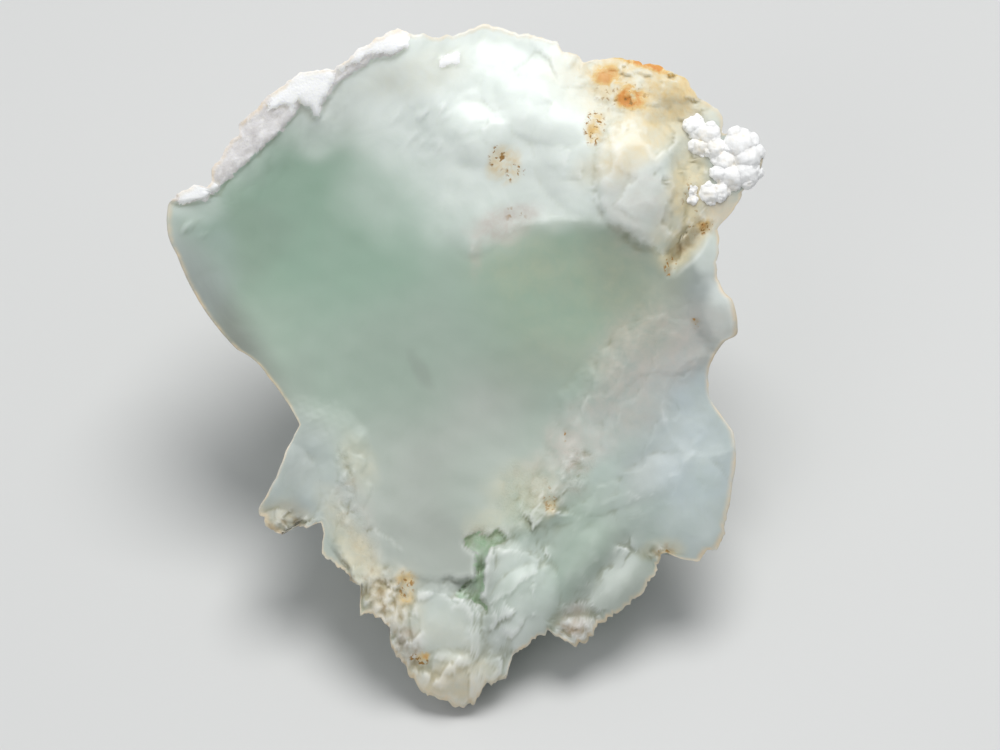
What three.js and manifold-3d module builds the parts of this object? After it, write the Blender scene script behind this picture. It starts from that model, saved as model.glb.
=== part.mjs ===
// A lump of rough green opal, broken off a larger mass: a wide smooth hollow and a smaller one beside it on
// the face, a glassy layered sheet below right, a white shoulder above, a chalky rind along the upper edge,
// small white knobs at the right shoulder and a flat-worn patch underneath that it rests on.
//
// Millimetres, +Z up. The origin is on the ground under the middle of the stone's box. The broken face looks
// towards -Y and up. The stone is laid out in the plane of that face: u runs right, v up the leaning face, and
// w out of it towards the eye.

import * as THREE from "three";
import { mergeVertices } from "three/addons/utils/BufferGeometryUtils.js";
import Module from "manifold-3d";

// Driving dimensions
const FACE_LOOKS_UP = THREE.MathUtils.degToRad(50); // the face's normal above the horizon
const EYE = { u: 3.2, v: -0.7, away: 260 }; // the outline was laid out as seen from here
const HEART = { u: -1.0, v: 1.5 }; // the point that the outline is measured round
const SEAT = { x: -0.02, y: -3.38 }; // brings the middle of the box over the origin
const GROUND = -22.6; // the ground, as a height along Z from the middle of the face
const EDGE = 0.7; // thickness of the stone at its outline
const DEPTH = 27; // how deep the body is behind its outline
const EDGE_LEVEL = -2; // height that the back's roundness starts from at the outline
const GRID = 44; // cells across the front, and across the back
const CROWDING = 1.35; // crowds the back's rings towards the outline: 0 is even, pi / 2 the most

// The outline, clockwise from the left tip: u, v, and how far the stretch that starts there bows out.
const OUTLINE = [
  [-26.7, 14.6, 0.1], [-25.4, 15.7, 0], [-24.1, 16.5, 0.2], [-23.5, 15.9, -0.1], [-22.7, 16.8, 0.1],
  [-22.6, 18.0, 0.1], [-20.3, 21.1, 0.15], [-20.1, 22.0, 0.1], [-18.6, 23.3, 0.15], [-16.2, 25.5, 0.3],
  [-13.5, 26.7, 0.1], [-11.7, 26.7, 0], [-10.9, 27.6, 0.2], [-6.1, 30.5, 0.1], [-4.8, 30.1, -0.15],
  [-0.2, 30.0, 0.2], [1.5, 30.8, 0.15], [5.0, 30.0, 0.1], [7.8, 29.6, 0.1], [8.9, 28.5, 0.1],
  [10.3, 28.0, 0], [10.6, 27.4, 0], [13.1, 27.9, 0.2], [16.3, 27.3, 0.1], [20.0, 26.1, 0.1],
  [20.3, 25.1, 0], [22.0, 23.8, 0.25], [23.1, 22.6, 0.1], [23.2, 21.0, -0.1], [24.0, 21.2, 0.15],
  [25.2, 21.0, 0.2], [26.6, 19.4, 0.35], [26.5, 17.5, 0.2], [25.0, 16.1, 0], [25.0, 15.4, 0.2],
  [22.9, 12.8, -0.1], [23.0, 11.2, 0.15], [22.4, 9.2, 0], [23.2, 7.1, -0.1], [24.1, 6.2, 0.15],
  [24.6, 3.1, 0.2], [23.7, 2.6, -0.1], [22.3, 0.6, -0.2], [22.0, -1.6, -0.15], [22.3, -3.2, 0],
  [24.2, -5.8, 0.3], [24.1, -10.5, 0.1], [23.5, -14.0, 0.15], [22.7, -16.5, 0.1], [21.9, -16.3, 0],
  [21.1, -17.6, 0.1], [18.9, -17.0, -0.3], [17.6, -17.2, -0.1], [17.6, -18.1, 0.15], [16.6, -19.7, 0.1],
  [14.4, -21.6, 0.1], [13.5, -22.6, 0.1], [13.0, -22.5, 0.1], [11.6, -23.7, 0.15], [11.0, -24.8, 0.1],
  [9.7, -25.1, 0.1], [7.6, -23.8, -0.1], [4.4, -26.0, 0], [3.8, -27.9, 0.2], [2.5, -28.5, -0.1],
  [1.6, -29.2, 0.15], [-0.4, -30.8, 0.05], [-1.9, -30.0, 0.1], [-2.7, -30.1, 0.15], [-4.6, -28.0, 0.25],
  [-5.1, -27.7, 0], [-6.5, -25.3, 0.2], [-6.6, -23.8, 0], [-7.4, -22.8, -0.2], [-9.0, -22.5, 0.2],
  [-9.5, -20.8, 0.1], [-9.3, -20.1, 0.1], [-10.6, -18.7, 0.1], [-11.6, -18.0, 0.1], [-12.9, -17.0, 0.1],
  [-12.7, -15.9, -0.1], [-13.1, -14.2, 0.1], [-14.9, -14.3, -0.1], [-15.9, -15.0, 0.1], [-16.9, -15.1, 0.15],
  [-18.1, -13.6, 0.1], [-18.5, -12.5, -0.2], [-16.5, -8.5, 0.1], [-14.8, -5.2, -0.15], [-17.7, -0.8, -0.3],
  [-20.5, 1.6, 0.1], [-23.3, 5.0, 0.2], [-25.9, 10.2, 0.1], [-26.7, 12.0, 0.1],
];

// The outline of the smooth broken face, clockwise from the left tip.
const FACE = [
  [-27.5, 13.7], [-26.4, 15.1], [-22.7, 15.8], [-20.3, 17.6], [-18.3, 19.6], [-16.3, 21.6], [-15.2, 23.0],
  [-13.2, 22.6], [-11.7, 25.3], [-10.7, 26.2], [-8.3, 27.7], [-6.7, 28.0], [-4.8, 28.8], [-3.3, 24.5],
  [-1.8, 20.5], [-0.6, 15.1], [0.9, 10.6], [3.2, 12.1], [5.9, 12.9], [9.0, 13.4], [12.3, 13.1],
  [15.8, 11.7], [18.2, 9.7], [17.6, 6.8], [16.0, 4.1], [13.8, 1.6], [11.3, -0.6], [9.3, -3.1],
  [8.6, -6.5], [7.5, -9.9], [5.9, -12.6], [3.9, -14.6], [3.0, -16.0], [1.2, -17.5], [0.8, -19.1],
  [-2.3, -19.1], [-5.0, -18.8], [-7.2, -19.1], [-9.3, -20.0], [-10.6, -17.9], [-11.6, -16.0], [-10.2, -13.3],
  [-8.9, -10.1], [-9.8, -6.7], [-12.2, -5.8], [-14.8, -5.2], [-20.3, -5.6], [-28.4, 9.7],
];

// The lower edge of the chalky rind, closed round outside the stone.
const RIND = [
  [-25.3, 15.0], [-24.8, 14.7], [-23.1, 15.1], [-22.3, 16.0], [-20.3, 17.6], [-18.3, 19.6], [-16.3, 21.6],
  [-15.2, 23.0], [-14.5, 23.6], [-13.9, 23.3], [-13.6, 22.5], [-13.2, 22.6], [-12.8, 23.6], [-11.7, 25.3],
  [-10.7, 26.2], [-8.3, 27.7], [-6.7, 28.0], [-5.2, 28.7], [-5.8, 29.3], [-6.0, 32.0], [-30, 32], [-30, 15],
];
const RIND_STEP = 0.35;
const STEP_WIDTH = 0.55; // half the width of a step between two surfaces of the front

// The hollows broken into the face: the deepest point u, v, w, and the radii of its curve across, up and down.
const HOLLOWS = [
  { u: -9.0, v: 8.0, w: -6.2, across: 50, up: 55, down: 60 },
  { u: 9.6, v: 2.0, w: -5.2, across: 30, up: 30, down: 30 },
];
const HOLLOWS_MEET_OVER = 2.5;

// Spot heights of the rough ground outside the hollows: u, v, w.
const SPOTS = [
  [-5, 28, -2.8], [1, 14, -4.9], [4, 20, -3.0], [3, 29, -6.0], [9, 24, -3.4], [4.8, 14, -4.3],
  [9, 14.6, -3.5], [12, 28, -6.5], [16, 18, -2.2], [14, 14, -2.8], [19, 25, -5.0], [24, 19, -3.6],
  [21, 12, -3.4], [19.5, 8, -3.6], [23, 4, -2.6], [17, 3, -3.9], [13, -1, -4.4], [8.6, -3, -4.5],
  [16, -6, -3.1], [23, -8, -2.8], [10, -9, -2.7], [6, -13, -1.0], [14, -14, -1.5], [22, -15, -3.0],
  [10, -20, -1.4], [16, -19, -3.0], [10, -24, -3.2], [4, -20, 0.1], [0, -21, 0.4], [0, -25, -0.8],
  [-6, -21, 0.0], [0, -30, -2.8], [-10, -17, -0.9], [-9.5, -13, -2.6], [-9, -8, -4.1], [-13, -12, -2.7],
  [-17, -12, -2.2], [-14, -7, -4.1], [-24, 15, -3.4], [-18, 21, -3.4], [-12, 26, -3.0],
];
const SPOT_SPREAD = 3.2;

// Lumps and chips on that ground: middle u and v, reach each way, rise (negative for a chip), turn in degrees,
// and a power: 2 is soft, 1 has a creased rim, less bulges.
const FORMS = [
  [-1.8, -23.4, 4.0, 4.2, 0.6, 0, 0.7], // white lobe of the foot
  [-0.9, -28.4, 4.4, 2.9, 1.1, 0, 1], // toe
  [5.2, -21.6, 3.0, 4.6, 1.0, -35, 1], // glassy block beside the lobe
  [-7.0, -22.0, 2.0, 3.2, 0.7, 20, 1], // grainy lump at the foot's left
  [10.5, -18.0, 2.4, 6.5, 0.9, -38, 2], // flutes down the layered sheet
  [14.0, -20.0, 2.4, 4.5, 0.8, -38, 2],
  [8.0, -15.0, 1.8, 6.0, -0.5, -38, 2],
  [19.0, -12.5, 5.5, 5.0, 0.8, 0, 1], // lower right corner
  [10.2, -24.0, 2.2, 1.8, 0.7, 10, 1],
  [23.0, 4.6, 2.6, 3.6, 0.9, 15, 1], // right lobe
  [21.8, -3.6, 4.0, 4.5, -0.7, 0, 1], // hollowed right edge
  [-17.0, -10.5, 4.0, 4.6, 0.5, 25, 1], // spur
  [-16.8, -14.2, 2.6, 1.5, 0.5, 0, 1],
  [2.5, 26.5, 6.0, 3.2, 0.9, -12, 1], // glassy facets at the top
  [7.0, 23.0, 4.5, 3.0, 0.6, -30, 1],
  [1.0, 21.0, 3.5, 3.0, 0.4, 20, 1],
  [10.5, 19.0, 4.2, 5.5, 0.7, 15, 1],
  [16.0, 25.0, 5.0, 3.0, 0.8, -10, 1], // stained crystalline patch
  [19.5, 20.5, 3.0, 4.0, -0.8, 25, 1],
  [15.9, 16.2, 3.9, 6.6, 0.9, 15, 0.7], // creamy lobe
  [18.9, 9.8, 1.8, 3.8, -1.3, 25, 1], // stained groove under it
];

// A cleft at the foot of the face.
const CLEFT = [
  [-0.1, -15.8], [0.2, -15.3], [1.0, -15.0], [2.5, -15.1], [2.9, -14.5], [3.8, -15.4], [3.6, -15.8],
  [2.4, -16.3], [1.8, -17.1], [1.7, -20.2], [1.5, -20.9], [2.0, -22.1], [1.1, -21.4], [0.6, -20.9],
  [-1.3, -20.6], [-0.1, -19.5], [0.8, -18.8], [1.1, -16.9], [0.2, -16.2],
];
const CLEFT_DEPTH = 0.4;

// White knobs at the right shoulder: u, v, radius.
const KNOBS = [
  [20.4, 21.9, 1.2], [21.7, 20.9, 1.4], [21.4, 19.3, 1.3], [22.9, 20.3, 1.3], [23.2, 18.7, 1.3],
  [24.6, 20.0, 1.6], [25.3, 18.8, 1.5], [25.2, 17.4, 1.5], [23.9, 16.9, 1.3], [22.1, 17.4, 1.1],
  [22.4, 15.6, 1.3], [20.6, 15.3, 1.0], [19.6, 20.2, 1.0], [23.3, 21.4, 0.9],
];
const KNOB_SUNK = 0.35; // share of a knob's radius that its middle lies below the ground round it

// The broken faces behind: a point on each, its slopes along u and v, and its curve (negative where hollow).
const FACETS = [
  { u: 2, v: 14, w: -23, along: 0, up: 0.7, curve: 0.033 }, // outer rind, round
  { u: -16, v: 10, w: -11.5, along: -0.9, up: 0, curve: -0.02 }, // left
  { u: -13, v: -4, w: -10, along: -2.0, up: 0.1, curve: -0.05 }, // waist
  { u: -12, v: -11, w: -14.5, along: -1.9, up: -0.7, curve: 0 }, // lower left
  { u: -9, v: -17, w: -7.5, along: -1.3, up: -1.1, curve: 0.01 }, // left of the foot
  { u: 17, v: 8, w: -12.5, along: 1.2, up: 0.1, curve: -0.01 }, // right
  { u: 19, v: 2, w: -9, along: 1.9, up: -0.5, curve: -0.05 }, // scoop in it
  { u: 17, v: 20, w: -14, along: 1.0, up: 0.5, curve: 0.01 }, // upper right
  { u: 22, v: 17, w: -11, along: 1.7, up: 0.8, curve: 0.03 }, // under the knobs
  { u: -19, v: 19, w: -11.5, along: -1.3, up: 1.1, curve: 0.02 }, // upper left
  { u: 17, v: -12, w: -12.5, along: 1.2, up: -0.5, curve: -0.01 }, // lower right
  { u: 13, v: -19, w: -8, along: 0.5, up: -1.2, curve: 0 }, // right of the foot
  { u: 0, v: 0, w: -26.5, along: 0.03, up: -0.08, curve: 0.004 }, // back
];
const FACET_UNEVENNESS = 0.9;

const clamp01 = (x) => Math.min(Math.max(x, 0), 1);

// 0 below a, 1 above b, and an even curve between them.
function ease(a, b, x) {
  const t = clamp01((x - a) / (b - a));
  return t * t * (3 - 2 * t);
}

// The lower of two heights, rounded where they meet within k.
function lower(a, b, k) {
  const h = clamp01(0.5 + (0.5 * (b - a)) / k);
  return b + (a - b) * h - k * h * (1 - h);
}

// A wandering unevenness from -1 to 1 with bumps of about that size.
function waves(u, v, size, seed) {
  let sum = 0;
  for (let i = 0; i < 5; i++) {
    const turn = 2.4 * i + seed;
    const k = ((2 * Math.PI) / size) * (0.7 + 0.17 * i);
    sum += Math.sin(k * (u * Math.cos(turn) + v * Math.sin(turn)) + 1.9 * i * i + 3.1 * seed);
  }
  return sum / 5;
}

// The outline as many short chords.
const chords = OUTLINE.flatMap(([u, v, bow], i) => {
  const [nextU, nextV] = OUTLINE[(i + 1) % OUTLINE.length];
  const du = nextU - u;
  const dv = nextV - v;
  const length = Math.hypot(du, dv);
  return [0, 0.2, 0.4, 0.6, 0.8].map((t) => {
    const out = (4 * bow * t * (1 - t)) / length;
    return [u + t * du - dv * out - HEART.u, v + t * dv + du * out - HEART.v];
  });
});

// How far the outline is from the heart in a direction.
function outlineRadius(angle) {
  const x = Math.cos(angle);
  const y = Math.sin(angle);
  let far = 0;
  chords.forEach(([a, b], i) => {
    const [c, d] = chords[(i + 1) % chords.length];
    const cross = x * (d - b) - y * (c - a);
    if (Math.abs(cross) < 1e-12) return;
    const along = (a * (d - b) - b * (c - a)) / cross;
    const share = (a * y - b * x) / cross;
    if (share >= -1e-9 && share <= 1 + 1e-9) far = Math.max(far, along);
  });
  return far;
}

// The same without the chips: a weighted mean over some 40 degrees.
const BROAD_WEIGHTS = [1, 3, 5, 6, 5, 3, 1];
function broadRadius(angle) {
  const radii = BROAD_WEIGHTS.map((weight, i) => weight * outlineRadius(angle + (i - 3) * 0.12));
  return radii.reduce((a, b) => a + b) / BROAD_WEIGHTS.reduce((a, b) => a + b);
}

// Distance in from a closed line, negative outside it.
function inside(u, v, line) {
  let nearest = Infinity;
  let odd = false;
  line.forEach(([a, b], i) => {
    const [c, d] = line[(i + 1) % line.length];
    const eu = c - a;
    const ev = d - b;
    const t = clamp01(((u - a) * eu + (v - b) * ev) / (eu * eu + ev * ev));
    nearest = Math.min(nearest, Math.hypot(u - a - t * eu, v - b - t * ev));
    if (b > v !== d > v && u < ((c - a) * (v - b)) / (d - b) + a) odd = !odd;
  });
  return odd ? nearest : -nearest;
}

function hollowHeight(u, v) {
  const [wide, small] = HOLLOWS.map((h) => {
    const du = u - h.u;
    const dv = v - h.v;
    return h.w + (du * du) / (2 * h.across) + (dv * dv) / (2 * (dv > 0 ? h.up : h.down));
  });
  return lower(wide, small, HOLLOWS_MEET_OVER);
}

function spotHeight(u, v) {
  let top = 0;
  let bottom = 0;
  for (const [a, b, w] of SPOTS) {
    const weight = Math.exp(-((u - a) ** 2 + (v - b) ** 2) / (2 * SPOT_SPREAD ** 2)) + 1e-12;
    top += weight * w;
    bottom += weight;
  }
  return top / bottom;
}

function groundHeight(u, v) {
  let w = spotHeight(u, v);
  for (const [a, b, reachU, reachV, rise, turn, power] of FORMS) {
    const c = Math.cos(THREE.MathUtils.degToRad(turn));
    const s = Math.sin(THREE.MathUtils.degToRad(turn));
    const x = ((u - a) * c + (v - b) * s) / reachU;
    const y = (-(u - a) * s + (v - b) * c) / reachV;
    const d2 = x * x + y * y;
    if (d2 < 1) w += rise * (1 - d2) ** power;
  }
  return w;
}

// Height of the front above the face's plane.
function frontHeight(u, v) {
  const uu = u + 0.25 * waves(u, v, 4.5, 6);
  const vv = v + 0.25 * waves(v, u, 4.5, 7);
  const ground = groundHeight(uu, vv);
  const arm = ease(5, 0, u) * ease(8, 13, v);
  const flanks = ease(9, 6, v) * ease(-18, -13, v);
  const reach = STEP_WIDTH + 3.0 * arm + 1.2 * flanks;
  const onFace = ease(-reach, reach, inside(uu, vv, FACE));
  const rind = ease(-STEP_WIDTH, STEP_WIDTH, inside(uu, vv, RIND));
  const cleft = ease(-STEP_WIDTH, STEP_WIDTH, inside(uu, vv, CLEFT));
  return ground + (hollowHeight(u, v) - ground) * onFace + RIND_STEP * rind - CLEFT_DEPTH * cleft;
}

// Height of the ground, written in the face's own directions.
function restHeight(u, v) {
  const rise = Math.cos(FACE_LOOKS_UP);
  const shrink = (v - EYE.v) / EYE.away;
  return (GROUND - v * rise) / (Math.sin(FACE_LOOKS_UP) - shrink * rise);
}

// Height of the back, out being how far out to the outline the point is, from 0 to 1.
function backHeight(u, v, out) {
  const round = EDGE_LEVEL - DEPTH * Math.sqrt(Math.max(1 - out ** 3, 0));
  const facets = FACETS.map((f, i) => {
    const du = u - f.u;
    const dv = v - f.v;
    const uneven = FACET_UNEVENNESS * (waves(u, v, 13, 8 + i) + 0.4 * waves(u, v, 6, 28 + i));
    return f.w + f.along * du + f.up * dv + (f.curve * (du * du + dv * dv)) / 2 + uneven;
  });
  const body = Math.max(round, ...facets, restHeight(u, v));
  return Math.min(body, frontHeight(u, v) - EDGE);
}

// From the face's own directions to the stone's frame.
function placed(u, v, w) {
  const spread = (EYE.away - w) / EYE.away;
  const across = EYE.u + (u - EYE.u) * spread;
  const up = EYE.v + (v - EYE.v) * spread;
  const c = Math.cos(FACE_LOOKS_UP);
  const s = Math.sin(FACE_LOOKS_UP);
  return new THREE.Vector3(across + SEAT.x, up * s - w * c + SEAT.y, up * c + w * s - GROUND);
}

// A box whose front and back are pressed into the outline and then raised to their heights.
function bodyGeometry() {
  const box = new THREE.BoxGeometry(2, 2, 2, GRID, GRID, 1);
  box.deleteAttribute("normal");
  box.deleteAttribute("uv");
  const geometry = mergeVertices(box);
  const position = geometry.getAttribute("position");
  for (let i = 0; i < position.count; i++) {
    const x = position.getX(i) * Math.sqrt(1 - position.getY(i) ** 2 / 2);
    const y = position.getY(i) * Math.sqrt(1 - position.getX(i) ** 2 / 2);
    const ring = Math.min(Math.hypot(x, y), 1);
    const front = position.getZ(i) > 0;
    const out = front ? ring : Math.sin(ring * CROWDING) / Math.sin(CROWDING);
    const angle = Math.atan2(y, x);
    const broad = broadRadius(angle);
    const radius = broad + (outlineRadius(angle) - broad) * out ** 3;
    const u = HEART.u + out * radius * Math.cos(angle);
    const v = HEART.v + out * radius * Math.sin(angle);
    const w = front ? frontHeight(u, v) : backHeight(u, v, out);
    position.setXYZ(i, ...placed(u, v, w).toArray());
  }
  return geometry;
}

const wasm = await Module();
wasm.setup();

function solidOf(geometry) {
  const bare = geometry.clone();
  bare.deleteAttribute("normal");
  bare.deleteAttribute("uv");
  const merged = mergeVertices(bare, 1e-4);
  const triVerts = new Uint32Array(merged.index.array);
  const vertProperties = new Float32Array(merged.getAttribute("position").array);
  return new wasm.Manifold(new wasm.Mesh({ numProp: 3, vertProperties, triVerts }));
}

function geometryOf(solid) {
  const { vertProperties, triVerts } = solid.getMesh();
  return new THREE.BufferGeometry()
    .setAttribute("position", new THREE.BufferAttribute(vertProperties, 3))
    .setIndex(new THREE.BufferAttribute(triVerts, 1))
    .toNonIndexed();
}

function opal() {
  let solid = solidOf(bodyGeometry());
  for (const [u, v, radius] of KNOBS) {
    const at = placed(u, v, groundHeight(u, v) - KNOB_SUNK * radius);
    const knob = new THREE.IcosahedronGeometry(radius, 1).translate(at.x, at.y, at.z);
    solid = solid.add(solidOf(knob));
  }
  const [body] = solid.decompose().sort((a, b) => b.volume() - a.volume()); // leaves slivers behind
  const geometry = geometryOf(body);
  geometry.computeVertexNormals();
  const milkyGreen = new THREE.MeshStandardMaterial({ color: 0xbdd3c4, roughness: 0.35, metalness: 0 });
  const mesh = new THREE.Mesh(geometry, milkyGreen);
  mesh.name = "opal";
  return mesh;
}

const stone = new THREE.Group();
stone.add(opal());
export default stone;
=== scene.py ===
"""A rough lump of green opal, for Blender 4.5.

The stone is laid out in the plane of its broken face, in millimetres: u runs right, v up the leaning face,
and w out of it towards the eye. The named values down to FACETS give the whole its shape. What follows them
is the fine relief and the finish.
"""

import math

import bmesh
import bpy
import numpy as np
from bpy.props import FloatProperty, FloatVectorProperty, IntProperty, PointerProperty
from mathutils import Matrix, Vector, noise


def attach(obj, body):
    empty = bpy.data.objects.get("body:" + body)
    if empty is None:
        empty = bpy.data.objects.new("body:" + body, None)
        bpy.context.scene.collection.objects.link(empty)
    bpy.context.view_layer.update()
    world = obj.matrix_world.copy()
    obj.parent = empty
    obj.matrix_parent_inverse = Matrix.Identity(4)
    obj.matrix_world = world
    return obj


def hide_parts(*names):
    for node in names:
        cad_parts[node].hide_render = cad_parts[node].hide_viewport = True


bl_info = {
    "name": "Green Opal",
    "version": (1, 0, 0),
    "blender": (4, 5, 0),
    "location": "View3D > Sidebar > Opal",
    "description": "Models a rough lump of green opal, its white knobs and a plain studio",
    "category": "Add Mesh",
}

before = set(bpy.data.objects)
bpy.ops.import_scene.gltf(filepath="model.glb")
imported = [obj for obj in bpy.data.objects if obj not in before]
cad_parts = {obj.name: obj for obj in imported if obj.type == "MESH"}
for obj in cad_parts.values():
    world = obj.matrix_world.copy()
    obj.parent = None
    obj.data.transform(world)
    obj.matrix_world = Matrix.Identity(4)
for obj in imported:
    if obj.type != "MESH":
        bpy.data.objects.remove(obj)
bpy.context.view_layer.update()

MM = 0.001

# How the stone stands
FACE_LOOKS_UP = math.radians(50)
EYE_U, EYE_V, EYE_AWAY = 3.2, -0.7, 260.0
PICTURE_WIDTH = 90.0  # what the camera frames across the face
HEART = (-1.0, 1.5)  # where on the face the outline's distances are measured from
SEAT_X, SEAT_Y = -0.02, -3.38  # brings the middle of the stone over the frame's origin
GROUND = -22.6
EDGE = 0.7  # the least thickness near the rim
DEPTH = 27.0  # of the round side, from the level at which it starts
EDGE_LEVEL = -2.0
CROWDING = 1.53  # crowds the back's rings towards the outline: 0 is even, pi / 2 the most
FRONT_RINGS = 5  # the higher, the less the front's inner rings follow the outline's chips
BACK_RINGS = 3
CHIPS_REACH = 1.2  # how far down the side the chips of the rim fade out
NOTCH = (22.0, -16.6)  # a step of the outline too steep for chips
NOTCH_STEP = 0.01  # in radians, how far to either side the back keeps behind the outline

# The studio, in metres
TOP_LIGHT_AT, TOP_LIGHT_SIZE = (0.05, 0.10, 0.42), 0.26
FILL_LIGHT_AT, FILL_LIGHT_SIZE = (-0.25, -0.35, 0.30), 0.30
SKY, SKY_STRENGTH = (0.75, 0.78, 0.82, 1), 0.5
FLOOR_SIZE = 1.5

# The outline, clockwise from the left tip: u, v, and how far the stretch that starts there bows out.
OUTLINE = [
    (-26.7, 14.6, 0.1), (-25.4, 15.7, 0), (-24.1, 16.5, 0.2), (-23.5, 15.9, -0.1), (-22.7, 16.8, 0.1),
    (-22.6, 18.0, 0.1), (-20.3, 21.1, 0.15), (-20.1, 22.0, 0.1), (-18.6, 23.3, 0.15), (-16.2, 25.5, 0.3),
    (-13.5, 26.7, 0.1), (-11.7, 26.7, 0), (-10.9, 27.6, 0.2), (-6.1, 30.5, 0.1), (-4.8, 30.1, -0.15),
    (-0.2, 30.0, 0.2), (1.5, 30.8, 0.15), (5.0, 30.0, 0.1), (7.8, 29.6, 0.1), (8.9, 28.5, 0.1),
    (10.3, 28.0, 0), (10.6, 27.4, 0), (13.1, 27.9, 0.2), (16.3, 27.3, 0.1), (20.0, 26.1, 0.1),
    (20.3, 25.1, 0), (22.0, 23.8, 0.25), (23.1, 22.6, 0.1), (23.2, 21.0, -0.1), (24.0, 21.2, 0.15),
    (25.2, 21.0, 0.2), (26.6, 19.4, 0.35), (26.5, 17.5, 0.2), (25.0, 16.1, 0), (25.0, 15.4, 0.2),
    (22.9, 12.8, -0.1), (23.0, 11.2, 0.15), (22.4, 9.2, 0), (23.2, 7.1, -0.1), (24.1, 6.2, 0.15),
    (24.6, 3.1, 0.2), (23.7, 2.6, -0.1), (22.3, 0.6, -0.2), (22.0, -1.6, -0.15), (22.3, -3.2, 0),
    (24.2, -5.8, 0.3), (24.1, -10.5, 0.1), (23.5, -14.0, 0.15), (22.7, -16.5, 0.1), (21.9, -16.3, 0),
    (21.1, -17.6, 0.1), (18.9, -17.0, -0.3), (17.6, -17.2, -0.1), (17.6, -18.1, 0.15), (16.6, -19.7, 0.1),
    (14.4, -21.6, 0.1), (13.5, -22.6, 0.1), (13.0, -22.5, 0.1), (11.6, -23.7, 0.15), (11.0, -24.8, 0.1),
    (9.7, -25.1, 0.1), (7.6, -23.8, -0.1), (4.4, -26.0, 0), (3.8, -27.9, 0.2), (2.5, -28.5, -0.1),
    (1.6, -29.2, 0.15), (-0.4, -30.8, 0.05), (-1.9, -30.0, 0.1), (-2.7, -30.1, 0.15), (-4.6, -28.0, 0.25),
    (-5.1, -27.7, 0), (-6.5, -25.3, 0.2), (-6.6, -23.8, 0), (-7.4, -22.8, -0.2), (-9.0, -22.5, 0.2),
    (-9.5, -20.8, 0.1), (-9.3, -20.1, 0.1), (-10.6, -18.7, 0.1), (-11.6, -18.0, 0.1), (-12.9, -17.0, 0.1),
    (-12.7, -15.9, -0.1), (-13.1, -14.2, 0.1), (-14.9, -14.3, -0.1), (-15.9, -15.0, 0.1),
    (-16.9, -15.1, 0.15), (-18.1, -13.6, 0.1), (-18.5, -12.5, -0.2), (-16.5, -8.5, 0.1),
    (-14.8, -5.2, -0.15), (-17.7, -0.8, -0.3), (-20.5, 1.6, 0.1), (-23.3, 5.0, 0.2), (-25.9, 10.2, 0.1),
    (-26.7, 12.0, 0.1),
]

# The outline of the smooth broken face, clockwise from the left tip.
FACE = [
    (-27.5, 13.7), (-26.4, 15.1), (-22.7, 15.8), (-20.3, 17.6), (-18.3, 19.6), (-16.3, 21.6),
    (-15.2, 23.0), (-13.2, 22.6), (-11.7, 25.3), (-10.7, 26.2), (-8.3, 27.7), (-6.7, 28.0), (-4.8, 28.8),
    (-3.3, 24.5), (-1.8, 20.5), (-0.6, 15.1), (0.9, 10.6), (3.2, 12.1), (5.9, 12.9), (9.0, 13.4),
    (12.3, 13.1), (15.8, 11.7), (18.2, 9.7), (17.6, 6.8), (16.0, 4.1), (13.8, 1.6), (11.3, -0.6),
    (9.3, -3.1), (8.6, -6.5), (7.5, -9.9), (5.9, -12.6), (3.9, -14.6), (3.0, -16.0), (1.2, -17.5),
    (0.8, -19.1), (-2.3, -19.1), (-5.0, -18.8), (-7.2, -19.1), (-9.3, -20.0), (-10.6, -17.9),
    (-11.6, -16.0), (-10.2, -13.3), (-8.9, -10.1), (-9.8, -6.7), (-12.2, -5.8), (-14.8, -5.2),
    (-20.3, -5.6), (-28.4, 9.7),
]

# The lower edge of the chalky rind, closed round outside the stone.
RIND = [
    (-25.3, 15.0), (-24.8, 14.7), (-23.1, 15.1), (-22.3, 16.0), (-20.3, 17.6), (-18.3, 19.6),
    (-16.3, 21.6), (-15.2, 23.0), (-14.5, 23.6), (-13.9, 23.3), (-13.6, 22.5), (-13.2, 22.6),
    (-12.8, 23.6), (-11.7, 25.3), (-10.7, 26.2), (-8.3, 27.7), (-6.7, 28.0), (-5.2, 28.7), (-5.8, 29.3),
    (-6.0, 32.0), (-30, 32), (-30, 15),
]
RIND_STEP = 0.35
STEP_WIDTH = 0.22

# The hollows: the deepest point u, v, w, and the radii of the curve across, up and down.
HOLLOWS = [
    (-9.0, 8.0, -6.2, 50, 55, 60),
    (9.6, 2.0, -5.2, 30, 30, 30),
]
HOLLOWS_MEET_OVER = 2.5

# Spot heights of the rough ground outside the hollows: u, v, w.
SPOTS = [
    (-5, 28, -2.8), (1, 14, -4.9), (4, 20, -3.0), (3, 29, -6.0), (9, 24, -3.4), (4.8, 14, -4.3),
    (9, 14.6, -3.5), (12, 28, -6.5), (16, 18, -2.2), (14, 14, -2.8), (19, 25, -5.0), (24, 19, -3.6),
    (21, 12, -3.4), (19.5, 8, -3.6), (23, 4, -2.6), (17, 3, -3.9), (13, -1, -4.4), (8.6, -3, -4.5),
    (16, -6, -3.1), (23, -8, -2.8), (10, -9, -2.7), (6, -13, -1.0), (14, -14, -1.5), (22, -15, -3.0),
    (10, -20, -1.4), (16, -19, -3.0), (10, -24, -3.2), (4, -20, 0.1), (0, -21, 0.4), (0, -25, -0.8),
    (-6, -21, 0.0), (0, -30, -2.8), (-10, -17, -0.9), (-9.5, -13, -2.6), (-9, -8, -4.1), (-13, -12, -2.7),
    (-17, -12, -2.2), (-14, -7, -4.1), (-24, 15, -3.4), (-18, 21, -3.4), (-12, 26, -3.0),
]
SPOT_SPREAD = 3.2

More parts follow.
